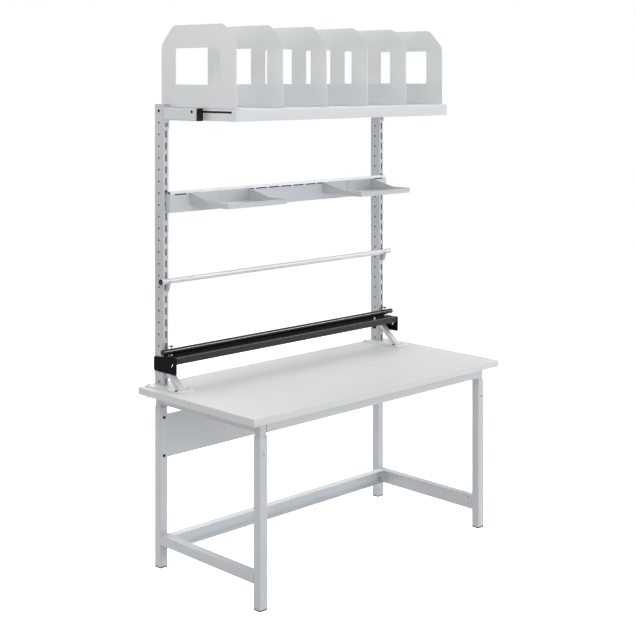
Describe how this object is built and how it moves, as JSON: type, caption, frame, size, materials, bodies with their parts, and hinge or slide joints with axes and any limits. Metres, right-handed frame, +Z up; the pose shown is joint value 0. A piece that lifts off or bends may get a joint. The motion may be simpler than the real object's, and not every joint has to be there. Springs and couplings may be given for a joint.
{
  "type": "workbench",
  "caption": "Packing workbench with telescopic legs, perforated uprights, divider shelf, hanging trays, roll rod and film cutter.",
  "frame": {"origin": "on the floor, under the middle of the worktop", "axes": "+Z up, +X along the bench to the user's right, -Y towards the user"},
  "size_m": [1.5, 0.75, 2.3002],
  "materials": {
    "painted_light": "light grey powder coat, satin",
    "laminate": "light grey laminate, fine matt texture",
    "edge_band": "light grey plastic edging",
    "black_metal": "black powder coat",
    "black_anodised": "black anodised extrusion",
    "black_plastic": "matt black plastic",
    "grey_plastic": "light grey plastic",
    "white_tube": "white powder-coated tube",
    "zinc": "bright zinc-plated fasteners",
    "black_screw": "black-finished screws",
    "blade_steel": "ground steel blade"
  },
  "bodies": {
    "lower_frame": {"outer_leg_front_left": "painted_light", "outer_leg_front_right": "painted_light", "outer_leg_rear_left": "painted_light", "outer_leg_rear_right": "painted_light", "leg_feet": "black_plastic", "leg_clamp_screws": "black_screw", "lower_side_rail_left": "painted_light", "lower_side_rail_right": "painted_light", "lower_rear_rail": "painted_light", "lower_rail_bolts": "zinc", "modesty_panel": "painted_light", "panel_screws": "zinc"},
    "top_frame": {"inner_leg_front_left": "painted_light", "inner_leg_front_right": "painted_light", "inner_leg_rear_left": "painted_light", "inner_leg_rear_right": "painted_light", "upper_side_rail_left": "painted_light", "upper_side_rail_right": "painted_light", "front_rail": "painted_light", "upper_rear_rail": "painted_light", "worktop": "laminate", "worktop_edge_band": "edge_band", "worktop_screws": "zinc", "upright_foot_left": "painted_light", "upright_foot_right": "painted_light", "upright_foot_bolts": "zinc", "upright_left": "painted_light", "upright_right": "painted_light", "upright_caps": "grey_plastic", "shelf_arm_left": "painted_light", "shelf_arm_right": "painted_light", "arm_caps": "black_plastic", "slot_bolts": "black_screw", "shelf_bolts": "zinc", "tray_rail": "painted_light", "tray_rail_brackets": "painted_light", "rod_holders": "painted_light", "cutter_plate_left": "black_metal", "cutter_plate_right": "black_metal", "cutter_front_rail": "black_anodised", "cutter_rear_rail": "black_anodised", "cutter_screws": "zinc", "guide_pins": "black_screw", "guide_pin_nuts": "zinc"},
    "shelf": {"shelf": "painted_light"},
    "divider_1_body": {"divider_1": "painted_light"},
    "divider_2_body": {"divider_2": "painted_light"},
    "divider_3_body": {"divider_3": "painted_light"},
    "divider_4_body": {"divider_4": "painted_light"},
    "divider_5_body": {"divider_5": "painted_light"},
    "divider_6_body": {"divider_6": "painted_light"},
    "tray_left_body": {"tray_left": "painted_light"},
    "tray_right_body": {"tray_right": "painted_light"},
    "roll_rod_body": {"roll_rod": "white_tube", "roll_rod_caps": "black_plastic"},
    "pressure_bar": {"pressure_tube": "black_metal", "pressure_tube_caps": "black_plastic"},
    "knife": {"knife_slider": "black_plastic", "knife_blade": "blade_steel", "knife_knob": "black_plastic"}
  },
  "joints": [
    {"name": "height_adjust", "type": "slide", "parent": "lower_frame", "child": "top_frame", "axis": [0, 0, 1], "range_m": [0, 0.2]},
    {"name": "shelf_depth_adjust", "type": "slide", "parent": "top_frame", "child": "shelf", "axis": [0, 1, 0], "range_m": [0, 0.2]},
    {"name": "divider_1_slide", "type": "slide", "parent": "shelf", "child": "divider_1_body", "axis": [1, 0, 0], "range_m": [0, 0.1]},
    {"name": "divider_2_slide", "type": "slide", "parent": "shelf", "child": "divider_2_body", "axis": [1, 0, 0], "range_m": [-0.1, 0.1]},
    {"name": "divider_3_slide", "type": "slide", "parent": "shelf", "child": "divider_3_body", "axis": [1, 0, 0], "range_m": [-0.1, 0.1]},
    {"name": "divider_4_slide", "type": "slide", "parent": "shelf", "child": "divider_4_body", "axis": [1, 0, 0], "range_m": [-0.1, 0.1]},
    {"name": "divider_5_slide", "type": "slide", "parent": "shelf", "child": "divider_5_body", "axis": [1, 0, 0], "range_m": [-0.1, 0.1]},
    {"name": "divider_6_slide", "type": "slide", "parent": "shelf", "child": "divider_6_body", "axis": [1, 0, 0], "range_m": [-0.1, 0]},
    {"name": "tray_left_slide", "type": "slide", "parent": "top_frame", "child": "tray_left_body", "axis": [1, 0, 0], "range_m": [0, 0.03]},
    {"name": "tray_right_slide", "type": "slide", "parent": "top_frame", "child": "tray_right_body", "axis": [1, 0, 0], "range_m": [-0.03, 0]},
    {"name": "roll_rod_spin", "type": "hinge", "parent": "top_frame", "child": "roll_rod_body", "pos_m": [0, 0.281, 1.217], "axis": [1, 0, 0], "continuous": true},
    {"name": "pressure_bar_lift", "type": "slide", "parent": "top_frame", "child": "pressure_bar", "axis": [0, 0, 1], "range_m": [0, 0.008]},
    {"name": "knife_slide", "type": "slide", "parent": "top_frame", "child": "knife", "axis": [1, 0, 0], "range_m": [-1.2, 0.1]}
  ]
}
